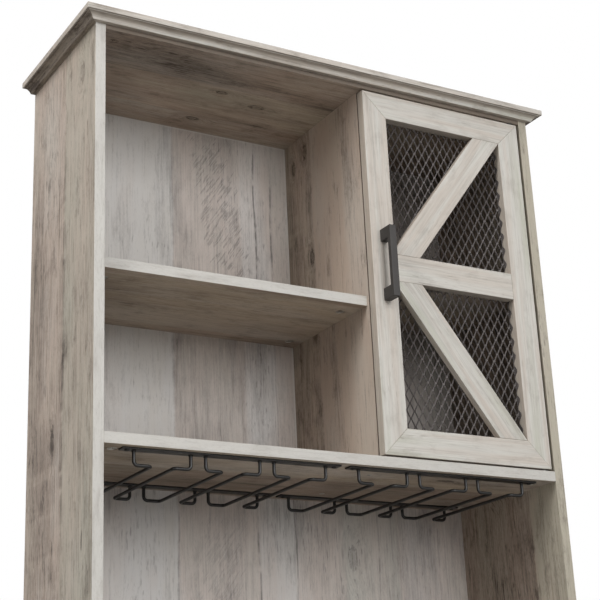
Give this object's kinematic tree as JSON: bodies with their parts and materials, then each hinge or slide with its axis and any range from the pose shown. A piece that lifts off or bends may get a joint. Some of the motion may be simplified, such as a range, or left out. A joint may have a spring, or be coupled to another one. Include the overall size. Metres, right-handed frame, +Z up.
{
  "type": "bar cabinet",
  "caption": "Tall shallow bar cabinet with open bays, mesh doors with braces, stemware racks over an open niche, and a cove crown.",
  "frame": {"origin": "middle of the bounding box's footprint, on the floor", "axes": "+Z up, +Y from the front to the back, +X to the right as seen from the front"},
  "size_m": [0.842, 0.289, 1.8],
  "materials": {
    "carcass_wood": "matt, weathered wood grain",
    "door_wood": "matt, light wood grain",
    "back_board": "matt, plank pattern",
    "dowel_wood": "raw beech",
    "rack_metal": "satin black",
    "handle_metal": "matt black",
    "mesh_metal": "dark bronze",
    "fitting_steel": "zinc plated",
    "fitting_plastic": "dark nylon"
  },
  "bodies": {
    "cabinet": {"side_panel_left": "carcass_wood", "side_panel_right": "carcass_wood", "top_panel": "carcass_wood", "crown_board": "door_wood", "crown_moulding_front": "door_wood", "crown_moulding_left": "door_wood", "crown_moulding_right": "door_wood", "divider_upper": "carcass_wood", "divider_lower": "carcass_wood", "rack_shelf": "carcass_wood", "counter_board": "carcass_wood", "bottom_panel": "carcass_wood", "plinth_board": "carcass_wood", "shelf_upper_left": "carcass_wood", "shelf_upper_right": "carcass_wood", "shelf_lower_left": "carcass_wood", "shelf_lower_right": "carcass_wood", "shelf_pins": "fitting_steel", "back_panel_upper": "back_board", "back_panel_lower": "back_board", "rack_left_bars": "rack_metal", "rack_left_wires": "rack_metal", "rack_right_bars": "rack_metal", "rack_right_wires": "rack_metal", "small_screws": "fitting_steel", "glides": "fitting_plastic", "cam_locks": "fitting_steel", "cam_bolts": "fitting_steel", "dowels": "dowel_wood", "divider_screws": "fitting_steel", "back_nails": "fitting_steel", "door_bushes": "fitting_plastic", "catch_magnets": "fitting_steel", "wall_bracket": "fitting_steel"},
    "upper_door": {"upper_door_stile_left": "door_wood", "upper_door_stile_right": "door_wood", "upper_door_rail_bottom": "door_wood", "upper_door_rail_top": "door_wood", "upper_door_rail_middle": "door_wood", "upper_door_brace_upper": "door_wood", "upper_door_brace_lower": "door_wood", "upper_door_mesh": "mesh_metal", "upper_door_staples": "fitting_steel", "upper_door_handle": "handle_metal", "upper_door_handle_screws": "fitting_steel", "upper_door_pivot_pins": "fitting_steel", "upper_door_strike": "fitting_steel"},
    "lower_door": {"lower_door_stile_left": "door_wood", "lower_door_stile_right": "door_wood", "lower_door_rail_bottom": "door_wood", "lower_door_rail_top": "door_wood", "lower_door_rail_middle": "door_wood", "lower_door_brace_upper": "door_wood", "lower_door_brace_lower": "door_wood", "lower_door_mesh": "mesh_metal", "lower_door_staples": "fitting_steel", "lower_door_handle": "handle_metal", "lower_door_handle_screws": "fitting_steel", "lower_door_pivot_pins": "fitting_steel", "lower_door_strike": "fitting_steel"}
  },
  "joints": [
    {"name": "upper_door_hinge", "type": "hinge", "parent": "cabinet", "child": "upper_door", "pos_m": [0.3685, -0.1085, 1.4695], "axis": [0, 0, 1], "range_deg": [0, 110]},
    {"name": "lower_door_hinge", "type": "hinge", "parent": "cabinet", "child": "lower_door", "pos_m": [0.3685, -0.1085, 0.4065], "axis": [0, 0, 1], "range_deg": [0, 110]}
  ]
}
